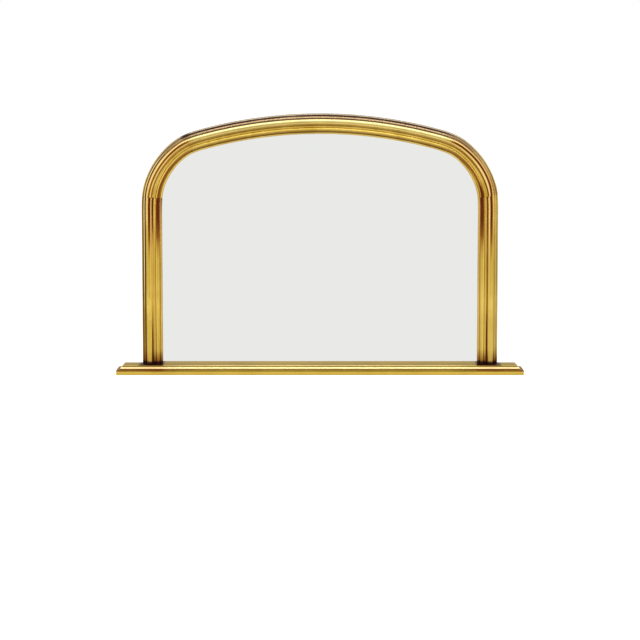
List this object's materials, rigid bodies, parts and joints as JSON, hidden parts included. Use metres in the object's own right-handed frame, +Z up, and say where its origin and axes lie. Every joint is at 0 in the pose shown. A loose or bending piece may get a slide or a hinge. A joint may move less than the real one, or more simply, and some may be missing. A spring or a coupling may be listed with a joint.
{
  "type": "overmantel mirror",
  "caption": "Arched overmantel mirror: flat glass in a reeded gilt frame that stands on a moulded shelf, with swinging rings behind for hanging.",
  "frame": {"origin": "middle of the back edge of the shelf's underside, on the line where the wall meets the mantelshelf", "axes": "+X to the viewer's right along the shelf, +Y back towards the wall, +Z up; the glass faces -Y"},
  "size_m": [1.22, 0.08, 0.78],
  "materials": {
    "gilt": "burnished gold leaf over red-brown ground",
    "shelf_gilt": "burnished gold leaf over red-brown ground",
    "bare_wood": "raw",
    "mirror": "silvered",
    "hardboard": "matt",
    "cork": "matt",
    "plated_steel": "zinc plated",
    "screw_steel": "plain"
  },
  "bodies": {
    "mirror": {"top_rail": "gilt", "corner_left": "gilt", "corner_right": "gilt", "upright_left": "gilt", "upright_right": "gilt", "rail_dowels": "bare_wood", "upright_dowels": "bare_wood", "foot_dowels": "bare_wood", "foot_screws": "screw_steel", "shelf_top_board": "shelf_gilt", "shelf_base_board": "shelf_gilt", "shelf_screws": "screw_steel", "mirror_glass": "mirror", "glass_blocks": "cork", "backing_board": "hardboard", "glazing_points": "plated_steel", "hanger_strap_left": "plated_steel", "hanger_strap_right": "plated_steel", "hanger_screws_left": "screw_steel", "hanger_screws_right": "screw_steel"},
    "ring_left": {"hanger_ring_left": "plated_steel"},
    "ring_right": {"hanger_ring_right": "plated_steel"}
  },
  "joints": [
    {"name": "left_ring_swing", "type": "hinge", "parent": "mirror", "child": "ring_left", "pos_m": [-0.507, -0.0025, 0.46985], "axis": [1, 0, 0], "range_deg": [0, 180]},
    {"name": "right_ring_swing", "type": "hinge", "parent": "mirror", "child": "ring_right", "pos_m": [0.507, -0.0025, 0.46985], "axis": [1, 0, 0], "range_deg": [0, 180]}
  ]
}
